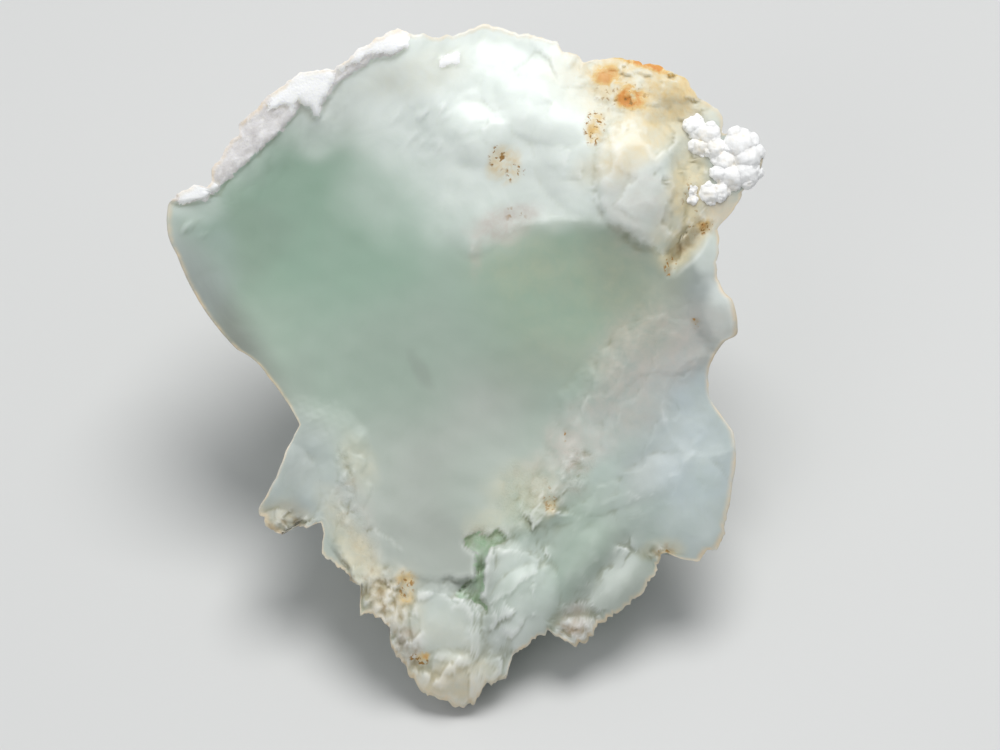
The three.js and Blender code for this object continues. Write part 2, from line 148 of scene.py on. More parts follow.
# Lumps and chips: middle u and v, reach each way, rise, turn in degrees, and a power (2 soft, 1 creased).
FORMS = [
    (-1.8, -23.4, 4.0, 4.2, 0.6, 0, 0.7),
    (-0.9, -28.4, 4.4, 2.9, 1.1, 0, 1),
    (5.2, -21.6, 3.0, 4.6, 1.0, -35, 1),
    (-7.0, -22.0, 2.0, 3.2, 0.7, 20, 1),
    (10.5, -18.0, 2.4, 6.5, 0.9, -38, 2),
    (14.0, -20.0, 2.4, 4.5, 0.8, -38, 2),
    (8.0, -15.0, 1.8, 6.0, -0.5, -38, 2),
    (19.0, -12.5, 5.5, 5.0, 0.8, 0, 1),
    (10.2, -24.0, 2.2, 1.8, 0.7, 10, 1),
    (23.0, 4.6, 2.8, 3.8, 0.8, 15, 1.5),
    (21.8, -3.6, 4.0, 4.5, -0.7, 0, 1),
    (-17.0, -10.5, 4.0, 4.6, 0.5, 25, 1),
    (-16.8, -14.2, 2.6, 1.5, 0.5, 0, 1),
    (2.5, 26.5, 6.0, 3.2, 0.7, -12, 2),
    (7.0, 23.0, 4.5, 3.0, 0.6, -30, 1),
    (1.0, 21.0, 3.5, 3.0, 0.4, 20, 1),
    (10.5, 19.0, 4.2, 5.5, 0.7, 15, 1),
    (16.0, 25.0, 5.0, 3.0, 0.8, -10, 1),
    (19.5, 20.5, 3.0, 4.0, -0.8, 25, 1),
    (15.9, 16.2, 3.9, 6.6, 0.9, 15, 0.7),
    (20.0, 10.9, 1.4, 3.6, -0.8, -39, 2),
]

# A cleft at the foot of the face, with a green floor.
CLEFT = [
    (-0.1, -15.8), (0.2, -15.3), (1.0, -15.0), (2.5, -15.1), (2.9, -14.5), (3.8, -15.4), (3.6, -15.8),
    (2.4, -16.3), (1.8, -17.1), (1.7, -20.2), (1.5, -20.9), (2.0, -22.1), (1.1, -21.4), (0.6, -20.9),
    (-1.3, -20.6), (-0.1, -19.5), (0.8, -18.8), (1.1, -16.9), (0.2, -16.2),
]
CLEFT_DEPTH = 0.4

# White knobs at the right shoulder: u, v, radius.
KNOBS = [
    (20.8, 21.6, 1.2), (21.9, 20.8, 1.4), (21.4, 19.8, 1.2), (22.6, 19.6, 1.2), (23.5, 18.6, 1.3),
    (24.7, 19.9, 1.7), (25.3, 18.8, 1.6), (25.2, 17.5, 1.5), (24.1, 17.2, 1.4), (23.0, 17.4, 1.0),
    (22.0, 15.6, 1.1), (23.0, 15.8, 1.0), (20.5, 15.0, 0.6), (20.6, 15.9, 0.5),
]
KNOB_SUNK = 0.35  # of its radius

# The broken faces behind: a point u, v, w on each, its slopes along u and v, and its curve.
FACETS = [
    (2, 14, -23, 0, 0.7, 0.033),
    (-16, 10, -11.5, -0.9, 0, -0.02),
    (-13, -4, -10, -2.0, 0.1, -0.05),
    (-12, -11, -14.5, -1.9, -0.7, 0),
    (-9, -17, -7.5, -1.3, -1.1, 0.01),
    (17, 8, -12.5, 1.2, 0.1, -0.01),
    (19, 2, -9, 1.9, -0.5, -0.05),
    (17, 20, -14, 1.0, 0.5, 0.01),
    (22, 17, -11, 1.7, 0.8, 0.03),
    (-19, 19, -11.5, -1.3, 1.1, 0.02),
    (17, -12, -12.5, 1.2, -0.5, -0.01),
    (13, -19, -8, 0.5, -1.2, 0),
    (0, 0, -26.5, 0.03, -0.08, 0.004),
]
RIND_FACETS = (0, 8, 9, 12)  # places in FACETS of those that the chalky rind covers
FACET_UNEVENNESS = 0.9
ROUND_RIND_ABOVE = 4  # the v above which the round side is rind too
RIM_WIDTH = 0.55  # of the thin edge's painted warm glow, where light shines through
BEND_ROUNDS = 5  # of smoothing, to tell lumps from hollows
BEND_FULL = 0.12  # how far a lump stands out, in millimetres, for its painted highlight to be at its lightest

# Patches of the front's fine relief: u, v, reach each way and a turn in degrees. Dirt lies in the dirty
# ones, and in the calm ones creases get only a little painted highlight or painted shade.
LAYERED = [(16, -6, 9, 11, -10), (8, -11, 6, 7, -38), (18, 2, 6, 6, 0), (12, -4, 4, 6, -30)]
SCALLOPED = [(6, 26, 12, 4.5, -12), (12, 19, 5, 6, 20), (4, 22, 4, 5, -20), (16.5, 15.5, 4, 7, 15)]
CRYSTALLINE = [
    (16, 25, 6.5, 3.6, -15), (19.6, 18.5, 3.0, 6.0, 0), (19.6, 11, 1.4, 3.4, -39),
]
HACKED = [
    (-1, -24.5, 8, 6.5, 0), (-8, -17, 3.4, 5, 25), (4, -18, 4, 4.5, 0), (9.5, -24, 3, 2.4, 0),
    (-16, -14.2, 3.2, 1.6, 0), (6, -12, 4, 3.4, 0), (12, -20, 2.4, 6, -38),
]
SMOOTH = [
    (-1.9, -23.3, 3.4, 3.6, 0), (9.4, -18.2, 2.0, 7.0, -38), (14.4, -19.4, 2.0, 5.0, -38),
    (4.2, -18.6, 2.4, 2.4, 0),
]
GRAINY = [
    (12.4, 21.3, 1.6, 2.2, 0), (5.6, -11.6, 2.6, 3.0, 0), (10.0, -9.0, 1.8, 2.4, 0),
    (2.0, -15.2, 2.6, 1.2, 0), (-10.6, -9.6, 0.9, 3.4, 15), (-9.8, -14.5, 1.4, 4.4, 25),
]
CRUMBLY = [
    (-7.4, -20.6, 2.6, 3.6, 35), (-5.4, -25.4, 1.6, 3.0, 30), (17.7, -16.9, 1.2, 0.9, 0),
    (-15.8, -14.4, 3.2, 1.2, 0), (9.8, -24, 2.0, 1.4, 0), (21.4, 12.8, 1.3, 0.9, 0),
]
HACKLY = [(-3.2, 21.6, 4.2, 3.4, 0), (-24.6, 12.2, 1.6, 1.8, 0)]
DIRTY = [
    (20.0, 11.2, 0.6, 2.6, -39), (17.9, -16.4, 0.9, 0.8, 0), (20.8, 4.0, 0.5, 0.5, 0),
    (18.4, 8.6, 0.4, 0.5, 0),
]
CALM = [(-3, -19.3, 5, 1.3, 0), (1.2, -18, 1.8, 4, 0), (21, 4.5, 2.6, 4.6, 0), (-15.8, -14.4, 3.2, 1.4, 0)]
EDGE_SHAKE = 0.45
HACKLE_TURN = 55
GRAIN = 0.85
CRUMB = 0.6

# Smooth patches on top of the rind, and crisp broken plates with how far each stands up.
CHALK_TOPS = [
    [
        (-17.7, 23.7), (-16.6, 26.5), (-14, 28), (-12, 27.5), (-11.8, 26.1), (-12.2, 25.1), (-13.0, 23.7),
        (-13.2, 22.5), (-13.7, 22.4), (-13.9, 23.3), (-14.9, 23.9), (-15.4, 23.4), (-16.4, 23.7),
        (-17.6, 23.2),
    ],
    [
        (-12, 27), (-10.6, 30), (-6, 32), (-4.8, 30.4), (-5.0, 28.7), (-6.8, 28.3), (-8.4, 28.2),
        (-10, 27.4), (-11.2, 26.5),
    ],
    [(-25.9, 14.8), (-26.0, 17), (-23.5, 17.5), (-22.2, 16.3), (-23.4, 15.2), (-24.6, 14.9)],
    [(-2.3, 28.0), (-0.5, 28.3), (-0.5, 27.1), (-2.2, 27.0)],
]
PLATES = [
    (0.16, [
        (-4.2, -20.0), (-3.4, -20.3), (-1.6, -20.5), (-0.9, -21.3), (0.2, -20.9), (1.0, -21.6),
        (1.5, -22.4), (1.2, -23.9), (1.6, -25.7), (0.4, -26.9), (-1.3, -26.4), (-3.4, -26.1),
        (-4.5, -25.0), (-4.9, -23.4), (-5.0, -22.1), (-4.6, -21.3),
    ]),
    (0.16, [
        (2.1, -16.7), (3.3, -16.2), (4.3, -16.3), (5.4, -16.6), (6.9, -17.2), (6.6, -18.2), (4.9, -19.7),
        (3.3, -20.8), (2.0, -21.3), (1.7, -20.6), (1.8, -18.2),
    ]),
    (0.07, [
        (9.9, -13.8), (12.0, -13.3), (14.6, -12.4), (15.9, -11.6), (14.9, -11.2), (12.5, -12.0),
        (10.2, -12.4), (8.6, -13.0), (7.2, -12.7), (6.0, -13.6), (7.6, -14.4),
    ]),
    (0.05, [
        (13.4, 3.0), (15.2, 4.2), (17.6, 4.8), (21.5, 3.6), (21.8, 0.0), (19.6, -0.4), (15.8, -0.6),
        (13.6, -2.4), (12.8, -4.2), (11.2, -5.6), (10.4, -3.8), (11.6, -1.6), (12.0, 0.6),
    ]),
    (0.07, [
        (-10.2, -7.4), (-8.8, -8.2), (-9.4, -9.6), (-8.2, -10.8), (-9.2, -12.4), (-8.4, -14.2),
        (-9.4, -15.8), (-8.2, -17.8), (-6.4, -18.2), (-7.2, -19.8), (-10.6, -19.6), (-14.4, -17.2),
        (-13.4, -13.6), (-11.4, -10.4),
    ]),
    (0.12, [
        (17.6, 13.2), (19.2, 11.4), (18.0, 10.0), (15.6, 11.6), (12.8, 13.2), (11.6, 15.4), (13.4, 18.6),
        (13.0, 21.6), (15.2, 22.4), (16.2, 20.4), (18.4, 19.2), (19.0, 16.4),
    ]),
]


# Shapes

def ease(low, high, x):
    """0 below low, 1 above high, and an even curve between them."""
    t = np.clip((x - low) / (high - low), 0, 1)
    return t * t * (3 - 2 * t)


def mix(a, b, share):
    return a + (b - a) * share


def lower(a, b, k):
    """The lower of two heights, rounded where they meet within k."""
    h = np.clip(0.5 + 0.5 * (b - a) / k, 0, 1)
    return b + (a - b) * h - k * h * (1 - h)


def waves(u, v, size, seed):
    """A wandering unevenness from -1 to 1 with bumps of about that size."""
    total = 0
    for i in range(5):
        turn = 2.4 * i + seed
        k = 2 * math.pi / size * (0.7 + 0.17 * i)
        total = total + np.sin(k * (u * math.cos(turn) + v * math.sin(turn)) + 1.9 * i * i + 3.1 * seed)
    return total / 5


def lumps(points, size, seed, octaves=3):
    """Fractal noise from about -1 to 1, with lumps of about that size."""
    shift = Vector((17.3 * seed, 5.1 * seed, 9.7 * seed))
    return np.array([noise.fractal(Vector(p) / size + shift, 1.0, 2.0, octaves) for p in points])


def cells(points, size, seed):
    """Distance to the nearest of scattered points that are about size apart, in shares of that size."""
    shift = Vector((11.9 * seed, 3.7 * seed, 7.3 * seed))
    return np.array([noise.voronoi(Vector(p) / size + shift)[0][0] for p in points])


def facets(points, size, seed, tilt):
    """Flat chips about that size across, each tilted its own way and standing a little higher or lower."""
    shift = Vector((7.9 * seed, 13.3 * seed, 3.1 * seed))
    middles = np.array([noise.voronoi(Vector(p) / size + shift)[1][0] for p in points]) - np.array(shift)
    stirred = np.array([[12.99, 39.35, 73.16], [78.23, 11.14, 52.24], [37.72, 83.16, 9.15]])
    chance = 2 * (np.sin(middles @ stirred) * 437.58 % 1) - 1
    offset = points / size - middles
    return size * tilt * (offset[:, 0] * chance[:, 0] + offset[:, 1] * chance[:, 1] + 0.25 * chance[:, 2])


def jagged(u, v):
    """Coordinates shaken a little, for the edges of broken plates."""
    long, short, wide = 5 * EDGE_SHAKE, 1.7 * EDGE_SHAKE, 0.6 * EDGE_SHAKE
    shaken_u = u + wide * waves(u, v, long, 31) + 0.4 * wide * waves(u, v, short, 32)
    shaken_v = v + wide * waves(v, u, long, 33) + 0.4 * wide * waves(v, u, short, 34)
    return shaken_u, shaken_v


def turned(u, v, a, b, reach_u, reach_v, turn):
    """Coordinates about a turned place, in shares of its reach each way."""
    c, s = math.cos(math.radians(turn)), math.sin(math.radians(turn))
    return ((u - a) * c + (v - b) * s) / reach_u, (-(u - a) * s + (v - b) * c) / reach_v


def patch(u, v, places):
    """1 in the middle of places and 0 outside them: each is u, v, reach each way and a turn in degrees."""
    amount = np.zeros_like(u)
    for a, b, reach_u, reach_v, turn in places:
        x, y = turned(u, v, a, b, reach_u, reach_v, turn)
        wander = 0.2 * waves(u, v, reach_u + reach_v, a) + 0.12 * waves(v, u, 0.4 * (reach_u + reach_v), b)
        amount = np.maximum(amount, 1 - ease(0.4, 1.2, np.hypot(x, y) * (1 + wander)))
    return amount


def inside(u, v, line):
    """Distance in from a closed line, negative outside it."""
    nearest = np.full(u.shape, np.inf)
    odd = np.zeros(u.shape, bool)
    for (a, b), (c, d) in zip(line, line[1:] + line[:1]):
        eu, ev = c - a, d - b
        t = np.clip(((u - a) * eu + (v - b) * ev) / (eu * eu + ev * ev), 0, 1)
        nearest = np.minimum(nearest, np.hypot(u - a - t * eu, v - b - t * ev))
        if d != b:
            odd ^= ((b > v) != (d > v)) & (u < (c - a) * (v - b) / (d - b) + a)
    return np.where(odd, nearest, -nearest)


def outline_chords():
    """The outline as many short chords, seen from the heart."""
    points = []
    for (u, v, bow), (next_u, next_v, _) in zip(OUTLINE, OUTLINE[1:] + OUTLINE[:1]):
        du, dv = next_u - u, next_v - v
        for t in (0, 0.2, 0.4, 0.6, 0.8):
            out = 4 * bow * t * (1 - t) / math.hypot(du, dv)
            points.append((u + t * du - dv * out - HEART[0], v + t * dv + du * out - HEART[1]))
    return np.array(points)


DIRECTIONS = np.linspace(-math.pi, math.pi, 3601)


def outline_table():
    """How far the outline is from the heart in each direction, eased over two thirds of a degree."""
    here = outline_chords()
    there = np.roll(here, -1, axis=0)
    x, y = np.cos(DIRECTIONS)[:, None], np.sin(DIRECTIONS)[:, None]
    a, b = here.T
    du, dv = (there - here).T
    cross = x * dv - y * du
    cross = np.where(np.abs(cross) < 1e-12, 1e-12, cross)
    along = (a * dv - b * du) / cross
    share = (a * y - b * x) / cross
    hit = (share >= -1e-9) & (share <= 1 + 1e-9)
    radii = np.where(hit, along, 0).max(axis=1)
    return np.convolve(np.pad(radii, 3, mode="wrap"), np.full(7, 1 / 7), mode="valid")


RADII = outline_table()


def outline_radius(angle):
    return np.interp((angle + math.pi) % (2 * math.pi) - math.pi, DIRECTIONS, RADII)


def broad_radius(angle):
    """The same without the chips: a weighted mean over some 40 degrees."""
    weights = (1, 3, 5, 6, 5, 3, 1)
    return sum(w * outline_radius(angle + (i - 3) * 0.12) for i, w in enumerate(weights)) / sum(weights)


def hollow_height(u, v):
    heights = []
    for a, b, w, across, up, down in HOLLOWS:
        du, dv = u - a, v - b
        heights.append(w + du * du / (2 * across) + dv * dv / (2 * np.where(dv > 0, up, down)))
    return lower(*heights, HOLLOWS_MEET_OVER)


def ground_height(u, v):
    top, bottom = 0, 0
    for a, b, w in SPOTS:
        weight = np.exp(-((u - a) ** 2 + (v - b) ** 2) / (2 * SPOT_SPREAD**2)) + 1e-12
        top = top + weight * w
        bottom = bottom + weight
    height = top / bottom
    for a, b, reach_u, reach_v, rise, turn, power in FORMS:
        x, y = turned(u, v, a, b, reach_u, reach_v, turn)
        height = height + rise * np.clip(1 - x * x - y * y, 0, 1) ** power
    return height


def front_height(u, v):
    """Height of the front above the face's plane, and the shares of it that are smooth face and rind."""
    warped_u = u + 0.25 * waves(u, v, 4.5, 6)
    warped_v = v + 0.25 * waves(v, u, 4.5, 7)
    ground = ground_height(warped_u, warped_v)
    warped_u, warped_v = jagged(u, v)
    arm = ease(5, 0, u) * ease(8, 13, v)
    flanks = ease(9, 6, v) * ease(-18, -13, v)
    blade = ease(-8, -11, u) * ease(-9, -6, v) * ease(0, -3, v)
    lip = ease(9, 12, u) * ease(6, 9, v)
    reach = STEP_WIDTH + 3.0 * arm + 1.2 * flanks + 1.6 * blade + 0.7 * lip
    face = ease(-reach, reach, inside(warped_u, warped_v, FACE))
    rind = ease(-STEP_WIDTH, STEP_WIDTH, inside(warped_u, warped_v, RIND))
    cleft = ease(-STEP_WIDTH, STEP_WIDTH, inside(warped_u, warped_v, CLEFT))
    height = mix(ground, hollow_height(u, v), face) + RIND_STEP * rind - CLEFT_DEPTH * cleft
    return height, face, rind


def rest_height(u, v):
    """Height of the ground, written in the face's own directions."""
    rise = math.cos(FACE_LOOKS_UP)
    shrink = (v - EYE_V) / EYE_AWAY
    return (GROUND - v * rise) / (math.sin(FACE_LOOKS_UP) - shrink * rise)


def back_height(u, v, out):
    """Height of the back, and of each surface that bounds it: the round side, the facets, the ground."""
    heights = [EDGE_LEVEL - DEPTH * np.sqrt(np.clip(1 - out**3, 0, 1))]
    for i, (a, b, w, along, up, curve) in enumerate(FACETS):
        du, dv = u - a, v - b
        uneven = FACET_UNEVENNESS * (waves(u, v, 13, 8 + i) + 0.4 * waves(u, v, 6, 28 + i))
        heights.append(w + along * du + up * dv + curve * (du * du + dv * dv) / 2 + uneven)
    heights.append(rest_height(u, v))
    heights = np.array(heights)
    return heights.max(axis=0), heights


def placed(u, v, w):
    """From the face's own directions, in millimetres, to the stone's frame, in metres."""
    spread = (EYE_AWAY - w) / EYE_AWAY
    across = EYE_U + (u - EYE_U) * spread
    up = EYE_V + (v - EYE_V) * spread
    c, s = math.cos(FACE_LOOKS_UP), math.sin(FACE_LOOKS_UP)
    return MM * np.stack([across + SEAT_X, up * s - w * c + SEAT_Y, up * c + w * s - GROUND], axis=-1)


def seen_from_eye(points):
    """The reverse of placed: from the stone's frame, in metres, to u, v and w."""
    across = points[:, 0] / MM - SEAT_X
    y = points[:, 1] / MM - SEAT_Y
    z = points[:, 2] / MM + GROUND
    c, s = math.cos(FACE_LOOKS_UP), math.sin(FACE_LOOKS_UP)
    w = z * s - y * c
    spread = (EYE_AWAY - w) / EYE_AWAY
    return EYE_U + (across - EYE_U) / spread, EYE_V + (y * s + z * c - EYE_V) / spread, w


def behind_outline(points):
    """The points of the back, drawn in where they would stick out past the outline."""
    u, v, w = seen_from_eye(points)
    du, dv = u - HEART[0], v - HEART[1]
    angle, away = np.arctan2(dv, du), np.hypot(du, dv)
    steps = (-NOTCH_STEP, 0, NOTCH_STEP)
    limit = np.min([outline_radius(angle + turn) + rim_chips(angle + turn) for turn in steps], axis=0)
    share = np.minimum(1, limit / np.maximum(away, EDGE))
    return placed(HEART[0] + du * share, HEART[1] + dv * share, w)


# Where the finish lies on the front, by mask: u, v, reach each way, a turn in degrees and a strength.
WASHES = {
    "mint": [
        (-10.4, 13.2, 13, 9, 20, 1), (-19, 16, 8, 5, 40, 0.9), (-9.5, 3.4, 12, 10, 0, 0.6),
        (9.5, 8.3, 10.5, 6.8, 5, 0.95), (8.5, 2.5, 9, 6, 0, 0.6), (11, -6, 5, 8, -20, 0.4),
        (10.2, -17.6, 2.4, 6, -38, 0.35), (18.5, -13.5, 3.4, 4.6, -38, 0.3), (7, -14, 4, 5, -38, 0.3),
        (-2, -23.5, 3.4, 3.4, 0, 0.2), (3.4, 26.4, 4.5, 2.2, -10, 0.4), (6, -20, 3, 4, -35, 0.25),
        (2.5, -10, 5, 5, 0, 0.15),
    ],
    "smoke": [
        (-23.4, 4, 3.4, 12, 35, 1), (-16, -3, 2, 5, -20, 0.2), (20.5, 7.6, 2.6, 2.6, 0, 0.35),
        (22.8, 5, 3.4, 5, 0, 0.8), (15.5, 7, 4, 7, 15, 0.35), (9, -1.5, 9, 3.6, 0, 0.2),
        (-1, -2, 12, 8, 0, 0.2), (20.5, 9.4, 2.2, 3, 20, 0.2), (-17, -11, 3, 5, 25, 0.3),
        (-14.6, -7, 3, 3, 0, 0.3), (-20, 11, 5, 4, 30, 0.25), (-3.9, -0.4, 0.7, 2, 30, 0.3),
        (-3.2, -16.5, 6, 4, 0, 0.35), (-3, -12, 6, 4, 0, 0.2), (17, -9.7, 3, 2.4, 0, 0.5),
        (-16.6, -13.3, 2.4, 1.4, 0, 0.6), (9.8, -24, 1.6, 1.2, 0, 0.4), (16, -2, 5, 6, 0, 0.25),
    ],
    "milk": [
        (5, 24.5, 13.5, 7, 0, 0.85), (-4.5, 24.5, 8, 5.5, -35, 0.85), (-10, 25.5, 6, 3.4, 25, 0.5),
        (2, 29, 16, 3.5, 0, 0.5), (18.4, -7.6, 1.4, 6, -40, 0.12), (23.4, 5.6, 1.6, 3.4, 0, 0.3),
        (14, -17.8, 1.3, 3.8, -38, 0.25), (-1.8, -24, 3.6, 3.6, 0, 0.55), (-1.4, -29, 4, 2, 0, 0.3),
        (3.6, -25, 2, 3, -30, 0.4), (6, -22, 2.4, 3.4, -35, 0.45), (15, 18, 4, 5, 15, 0.5),
        (-24, 14.6, 2.2, 1.8, 0, 0.3), (-13.2, 21.4, 2.8, 2.8, 0, 0.5), (21.8, 10.8, 1.3, 2.8, 0, 0.5),
        (20.5, -14.5, 3, 3, 0, 0.2), (1.5, 13.5, 5.5, 4, 0, 0.3), (0, 19, 6, 6, 0, 0.6),
        (5, -18, 2.6, 2, 0, 0.35), (21.3, 23.2, 1.8, 1.6, 0, 0.5), (-4.5, 17, 6.5, 6, -40, 0.35),
        (8.5, 14.8, 4, 2.4, 0, 0.5), (3, 12.2, 2.2, 1.2, 15, 0.5),
    ],
    "frost": [
        (22, -8.3, 5, 9, 0, 0.7), (23, 6, 3, 4.5, 0, 0.35), (17.5, -6, 8, 9, 0, 0.4),
        (20.2, -13.7, 4.5, 4, 0, 0.25), (-15, -10.1, 5, 5.5, 0, 0.35), (-0.5, -29, 4, 3, 0, 0.3),
        (-24.7, 9.7, 4, 9, 0, 0.3), (-4, 22, 4, 4, 0, 0.3),
    ],
    "cream": [
        (16.4, 21.6, 2.6, 6, -50, 0.9), (20.2, 16, 2, 4.4, 0, 0.8), (15.7, 25, 7.5, 3.6, -10, 0.65),
        (-16.4, -13.6, 3.2, 1.5, 0, 0.3), (-10.4, -15.5, 1.4, 4.5, 30, 0.3), (-9.6, -8.6, 1.6, 3, 20, 0.2),
        (-6.4, -21, 2.6, 3, 20, 0.45), (-1.3, -28.6, 4.4, 2.6, 0, 0.5), (5.4, -11.6, 3, 3, 0, 0.25),
        (18, -16.4, 2, 1, 0, 0.4), (20.2, 11.6, 1.3, 3.2, -39, 0.8), (18.2, 11, 1.6, 2.6, 0, 0.3),
        (2, -14.5, 2, 2, 0, 0.2), (14, 8, 5, 4, 0, 0.08), (-2, -27, 5, 5, 0, 0.2),
        (-4, 26.5, 5, 2, 15, 0.15), (10, 6, 9, 7, 0, 0.12), (4.5, 9.5, 4, 3, 0, 0.1),
        (23.2, 13.6, 2.6, 1.8, 0, 0.35), (-9.5, -18, 2, 3, 20, 0.3),
    ],
    "blush": [
        (23.4, 14, 2, 1.8, 0, 0.8), (13, -4.6, 6, 3, 30, 0.5), (9.9, -22.9, 1.7, 1.9, 0, 0.8),
        (8, -10, 3, 3, 0, 0.4), (-9.5, -14, 1.6, 4, 20, 0.3), (17.5, 2, 6, 4, 20, 0.6),
        (3.4, 13, 3, 1.6, 15, 0.8), (-1, -29.5, 4, 2, 0, 0.4), (1, 10.4, 0.6, 2.4, 0, 0.4),
        (5.5, 13.9, 1.6, 0.8, 15, 0.6), (15.5, 15, 3, 5, 15, 0.5), (-7, -21, 2, 2.6, 20, 0.5),
        (-5, -25, 1.4, 2, 20, 0.8), (9, -7, 1.5, 1.5, 0, 0.6), (10.4, -8.6, 1.5, 1, 0, 0.6),
    ],
    "ochre": [
        (14.9, 24.3, 1.2, 1.1, 0, 1), (12.8, 26.3, 1.4, 1, 0, 0.45), (16.4, 27.3, 4.6, 0.45, -17, 1),
        (11.7, 21.6, 0.8, 1.7, 0, 0.3), (21.6, 12.8, 0.7, 0.5, 20, 0.6), (-5.3, -19, 0.9, 0.8, 0, 0.25),
        (-5.3, -20.6, 0.7, 1, 0, 0.25), (-3.7, -26.1, 0.6, 0.3, 0, 0.5), (18.3, -16.6, 0.6, 0.3, 0, 0.2),
        (16, 25.4, 5.5, 2.6, -12, 0.16), (7.8, -12.6, 0.5, 0.8, 0, 0.12), (3.6, 18.3, 1.6, 1.6, 0, 0.2),
    ],
    "specks": [
        (3, 18.8, 0.7, 1.2, 0, 1), (4.6, 17.6, 0.8, 1, 0, 0.9), (11.7, 21.6, 0.9, 1.6, 0, 0.9),
        (4.6, 13.8, 1, 0.8, 0, 0.35), (14.2, 24.6, 3, 1.6, 0, 0.35), (14.9, 24.3, 0.8, 0.7, 0, 0.8),
        (-5.2, -19.6, 0.8, 1.4, 0, 0.5), (7.7, -12, 0.6, 1.4, 0, 0.4), (21.4, 12.7, 1, 0.7, 0, 1),
        (18.5, 8.7, 0.4, 0.6, 0, 1), (-4, -26.3, 0.8, 0.6, 0, 1), (17.9, -16.6, 0.7, 0.5, 0, 0.5),
        (20.8, 4.2, 0.6, 0.7, 0, 1), (18.6, 9.2, 0.6, 0.8, 0, 0.9), (20.4, 15, 1, 2, 0, 0.4),
        (9, -6.2, 0.3, 0.4, 0, 0.9),
    ],
}

# Clouds of finish on the back: strength, size, seed, and the two levels of noise that they rise between.
CLOUDS = {
    "milk": (0.5, 9, 24, -0.1, 0.6), "mint": (0.75, 16, 25, -0.6, 0.3), "frost": (0.6, 14, 26, -0.1, 0.5),
    "smoke": (0.25, 9, 27, 0, 0.6), "cream": (0.4, 8, 28, 0.1, 0.6), "blush": (0.4, 9, 29, 0.1, 0.6),
    "ochre": (0.6, 4, 30, 0.15, 0.7), "specks": (0.4, 4, 31, 0.3, 0.7),
}


def wash(u, v, name):
    """How strongly one of the washes lies at each point of the front."""
    left = np.ones_like(u)
    for a, b, reach_u, reach_v, turn, strength in WASHES[name]:
        left = left * (1 - strength * patch(u, v, [(a, b, reach_u * 1.15, reach_v * 1.15, turn)]))
    return 1 - left


def layers(u, v, jag):
    """Thin broken layers that crop out along slanting, jagged edges: a short rise and a long fall."""
    along = (0.82 * u - 0.57 * v) / 3.4 + 0.5 * waves(u, v, 11, 1) + 0.25 * waves(u, v, 4, 2) + 0.3 * jag
    share = along - np.floor(along)
    return ease(0, 0.12, share) - share


def front_relief(u, v, w, face, rind):
    """What the solid leaves out: layer edges, broken plates, grains and the granular rind."""
    points = np.stack([u, v, w], axis=-1)
    rise = 0.03 * waves(u, v, 3.1, 4)
    off_face = 1 - face

    def add(share, shape):
        """Adds a shape where its share is more than nothing."""
        here = share > 0.01
        rise[here] += share[here] * shape(here)

    def jagged_layers(here):
        return layers(u[here], v[here], lumps(points[here], 1.6, 1))

    def conchoidal(here):
        near = cells(points[here] * (1, 1.4, 1), 3.6, 2)
        return 0.22 * near**2 - 0.09 + facets(points[here] + bent[here], 3.4, 16, 0.05)

    def crystals(here):
        return facets(points[here] + bent[here], 2.0, 17, 0.24) + facets(points[here], 0.9, 18, 0.13)

    def hacked(here):
        return facets(points[here] + bent[here], 2.8, 24, 0.2) + facets(points[here], 1.1, 25, 0.11)

    def grains(here):
        return 0.18 * (0.5 - grain_gap[here]) + 0.16 * lumps(points[here], 1.1, 4, 4)

    def crumbling(here):
        return 0.42 * (0.5 - grain_gap[here]) + 0.3 * lumps(points[here], 1.3, 4)

    def crumbs(here):
        near = cells(points[here], CRUMB, 5)
        return 0.16 * (0.5 - near) + 0.12 * lumps(points[here], 1.6, 6, 4)

    def streaks(here):
        along, across = turned(u[here], v[here], 0, 0, 3.5, 1, HACKLE_TURN)
        return 0.3 * np.maximum(lumps(np.stack([along, across, 0 * along], axis=-1), 0.6, 14, 2) - 0.1, 0)

    bent = np.stack([0.35 * waves(u, v, 2.2, 5), 0.35 * waves(v, u, 2.2, 9), 0 * u], axis=-1)
    grainy = patch(u, v, GRAINY)
    crumbly = patch(u, v, CRUMBLY)
    grain_gap = np.zeros_like(u)
    granular = grainy + crumbly > 0.01
    grain_gap[granular] = cells(points[granular], GRAIN, 3)
    crystalline = patch(u, v, CRYSTALLINE) * off_face
    add(0.07 * patch(u, v, LAYERED) * off_face, jagged_layers)
    add(patch(u, v, SCALLOPED) * off_face, conchoidal)
    add(crystalline, crystals)
    add(patch(u, v, HACKED) * (1 - 0.8 * face) * (1 - 0.85 * patch(u, v, SMOOTH)), hacked)
    add(grainy * (1 - 0.5 * face), grains)
    add(crumbly * (1 - 0.5 * face), crumbling)
    shaken = jagged(u, v)
    tops = np.max([ease(-0.15, 0.2, inside(*shaken, line)) for line in CHALK_TOPS], axis=0)
    rise += 0.22 * tops
    add(rind * (1 - 0.6 * tops), crumbs)
    add(patch(u, v, HACKLY), streaks)
    add(off_face * (1 - rind), lambda here: 0.05 * lumps(points[here], 1.8, 7, 4))
    for stands, line in PLATES:
        rise += stands * ease(-0.12, 0.12, inside(*shaken, line))
    pits = (0.8 * crumbly + 0.25 * grainy) * ease(0.5, 0.8, grain_gap)
    pits = np.maximum(pits, 0.9 * patch(u, v, DIRTY))
    return rise, np.max([grainy, crumbly, 0.4 * crystalline, rind], axis=0), pits


